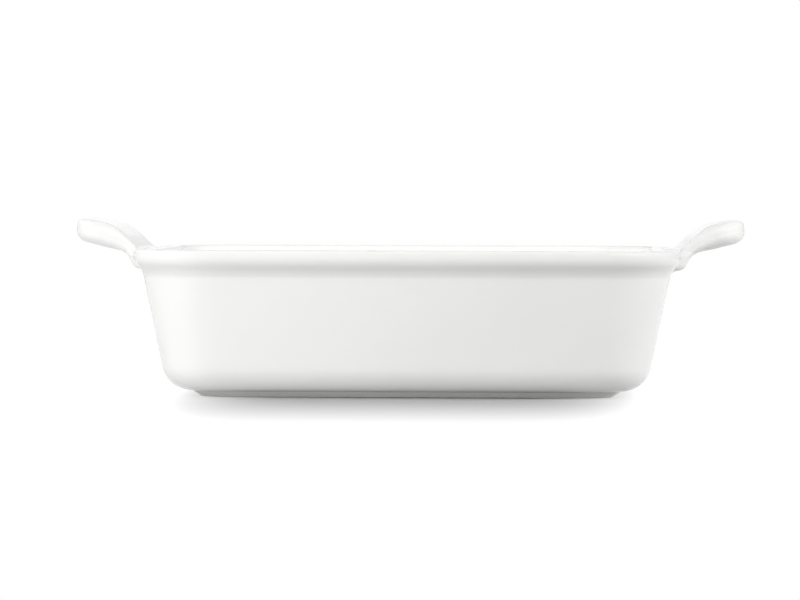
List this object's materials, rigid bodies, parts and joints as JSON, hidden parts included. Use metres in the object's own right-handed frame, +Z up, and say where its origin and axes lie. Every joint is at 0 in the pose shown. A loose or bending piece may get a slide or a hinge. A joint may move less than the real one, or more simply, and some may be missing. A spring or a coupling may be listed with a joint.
{
  "type": "square baking dish",
  "caption": "Square glazed stoneware baking dish with drafted walls, a rolled rim, a foot ring and raised tab handles for carrying it to and from the oven.",
  "frame": {"origin": "on the table under the middle of the dish", "axes": "+X through the right-hand handle, +Y towards the back of the dish, +Z up"},
  "size_m": [0.3086, 0.246, 0.0795],
  "materials": {
    "white_glaze": "gloss white glaze",
    "bare_stoneware": "fired clay, wiped clean of glaze"
  },
  "bodies": {
    "root": {"basin": "white_glaze", "rim_band": "white_glaze", "foot_ring": "bare_stoneware", "handle_left": "white_glaze", "handle_right": "white_glaze"}
  },
  "joints": []
}
